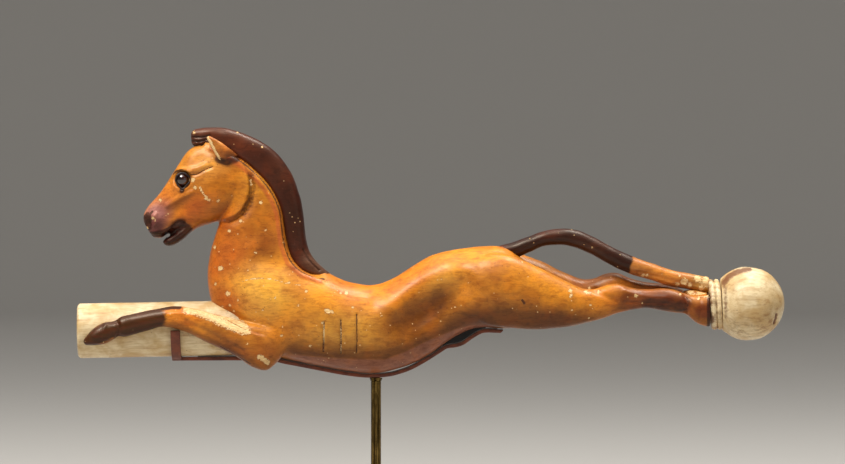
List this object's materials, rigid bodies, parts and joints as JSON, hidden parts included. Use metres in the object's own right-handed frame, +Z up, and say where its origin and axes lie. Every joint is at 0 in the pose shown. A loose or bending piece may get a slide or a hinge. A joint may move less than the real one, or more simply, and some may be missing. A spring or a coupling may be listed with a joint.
{
  "type": "carved horse figure on swivel rod",
  "caption": "Carved leaping horse with a cylinder between its forelegs and a round knob behind its hooves, held in a cradle that turns on an upright rod.",
  "frame": {"origin": "centre of the rod's flat foot, on the rod's axis", "axes": "+Z up along the rod; the horse's length runs along X with its head towards -X and its knob towards +X; its left side faces -Y"},
  "size_m": [0.1507, 0.0184, 0.086],
  "materials": {
    "stained_ivory": "satin",
    "dark_stain": "satin",
    "bare_ivory": "satin",
    "dowel_wood": "matte",
    "garnet": "polished",
    "black_paste": "matte",
    "cradle_paint": "satin",
    "grey_felt": "matte",
    "black_felt": "matte",
    "brass": "satin"
  },
  "bodies": {
    "stand": {"rod": "brass", "thrust_washer": "brass"},
    "figure": {"clip_left": "cradle_paint", "clip_right": "cradle_paint", "collar_ring": "bare_ivory", "cradle_rail": "cradle_paint", "ear_left": "stained_ivory", "ear_right": "stained_ivory", "eye_left": "garnet", "eye_right": "garnet", "eye_rim_left": "black_paste", "eye_rim_right": "black_paste", "flank_pad": "black_felt", "foreleg_left": "stained_ivory", "foreleg_pin": "dowel_wood", "foreleg_right": "stained_ivory", "handle_cylinder": "bare_ivory", "handle_dowel": "dowel_wood", "hind_dowel_left": "dowel_wood", "hind_dowel_right": "dowel_wood", "hind_leg_left": "stained_ivory", "hind_leg_right": "stained_ivory", "horse_body": "stained_ivory", "knob_ball": "bare_ivory", "knob_dowel": "dowel_wood", "mane": "dark_stain", "pivot_bush": "brass", "rail_liner": "grey_felt", "tail_dowel": "dowel_wood", "tail_lower": "stained_ivory", "tail_upper": "dark_stain"}
  },
  "joints": [
    {"name": "vane_swivel", "type": "hinge", "parent": "stand", "child": "figure", "pos_m": [0, 0, 0.032], "axis": [0, 0, 1], "continuous": true}
  ]
}
